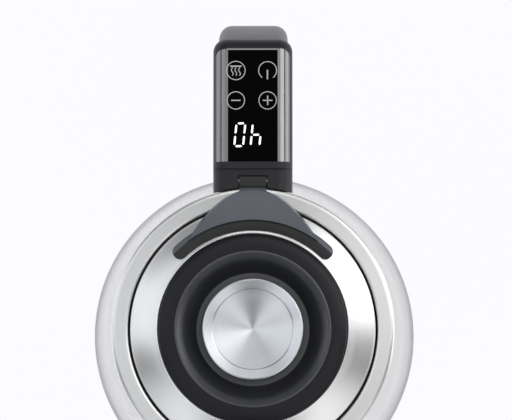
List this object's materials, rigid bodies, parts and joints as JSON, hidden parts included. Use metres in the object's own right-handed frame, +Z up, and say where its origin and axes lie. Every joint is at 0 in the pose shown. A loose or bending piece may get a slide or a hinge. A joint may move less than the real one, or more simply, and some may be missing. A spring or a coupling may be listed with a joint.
{
  "type": "electric kettle",
  "caption": "Cordless glass kettle with a touch-control handle, steel collar with spout, hinged domed lid and a swivelling power base.",
  "frame": {"origin": "on the jug's axis, on the underside of the foot ring", "axes": "+Z up the jug's axis, +Y towards the handle, -Y towards the spout"},
  "size_m": [0.16, 0.2251, 0.2199],
  "materials": {
    "base_plastic": "fine moulded grain, satin black",
    "foot_rubber": "matt black rubber",
    "connector_plastic": "plain moulded black",
    "glide_plastic": "smooth grey glide ring",
    "contact_brass": "bare brass contacts",
    "screw_steel": "zinc-plated steel",
    "element_metal": "sheathed tubular element",
    "spreader_aluminium": "cast aluminium",
    "plate_steel": "satin stainless steel",
    "seal_silicone": "translucent grey silicone",
    "jug_glass": "clear borosilicate glass",
    "collar_steel": "brushed round the axis",
    "lid_steel": "brushed round the axis",
    "knob_steel": "turned, fine concentric lines",
    "liner_plastic": "satin black, food grade",
    "ring_plastic": "semi-gloss black",
    "bowl_plastic": "satin black",
    "bridge_plastic": "satin dark grey",
    "handle_plastic": "satin black",
    "grip_plastic": "satin black, soft grain",
    "panel_gloss": "high-gloss black over light-through legends",
    "board_green": "solder-masked board",
    "harness_sleeve": "sleeved wires"
  },
  "bodies": {
    "base": {"base_foot_ring": "foot_rubber", "base_screws": "screw_steel", "base_bottom_cover": "base_plastic", "base_top_cover": "base_plastic", "cord_gland": "foot_rubber", "plug_screws": "screw_steel", "connector_plug": "connector_plastic", "connector_center_pin": "contact_brass", "connector_ring_contact": "contact_brass"},
    "swivel_seat": {"glide_ring": "glide_plastic"},
    "jug": {"grip_screw": "screw_steel", "jug_bottom_cover": "base_plastic", "lower_band": "collar_steel", "connector_socket": "connector_plastic", "socket_contacts": "contact_brass", "cutout_discs": "contact_brass", "temperature_sensor": "plate_steel", "heating_plate": "plate_steel", "heating_element": "element_metal", "heat_spreader": "spreader_aluminium", "element_terminals": "screw_steel", "lower_seal": "seal_silicone", "glass_body": "jug_glass", "upper_seal": "seal_silicone", "neck_screws": "screw_steel", "collar": "collar_steel", "collar_liner": "liner_plastic", "spout_filter_frame": "liner_plastic", "spout_filter_mesh": "plate_steel", "touch_panel": "panel_gloss", "handle_screws": "screw_steel", "handle_housing": "handle_plastic", "display_board": "board_green", "display_module": "connector_plastic", "touch_pads": "seal_silicone", "buzzer": "connector_plastic", "hinge_pin": "screw_steel", "handle_neck": "handle_plastic", "grip_outer_shell": "grip_plastic", "grip_inner_shell": "grip_plastic", "wiring_harness": "harness_sleeve"},
    "lid": {"lid_plate": "lid_steel", "lid_ring": "ring_plastic", "knob_screw": "screw_steel", "lid_bowl": "bowl_plastic", "knob_base": "ring_plastic", "knob_cap": "knob_steel", "lid_screws": "screw_steel", "lid_core": "liner_plastic", "lid_liner": "liner_plastic", "lid_seal": "seal_silicone", "hinge_bridge": "bridge_plastic"}
  },
  "joints": [
    {"name": "swivel", "type": "hinge", "parent": "base", "child": "swivel_seat", "pos_m": [0, 0, 0.02], "axis": [0, 0, 1], "continuous": true},
    {"name": "jug_lift", "type": "slide", "parent": "swivel_seat", "child": "jug", "axis": [0, 0, 1], "range_m": [0, 0.04]},
    {"name": "lid_hinge", "type": "hinge", "parent": "jug", "child": "lid", "pos_m": [0, 0.0656, 0.2115], "axis": [-1, 0, 0], "range_deg": [0, 70]}
  ]
}
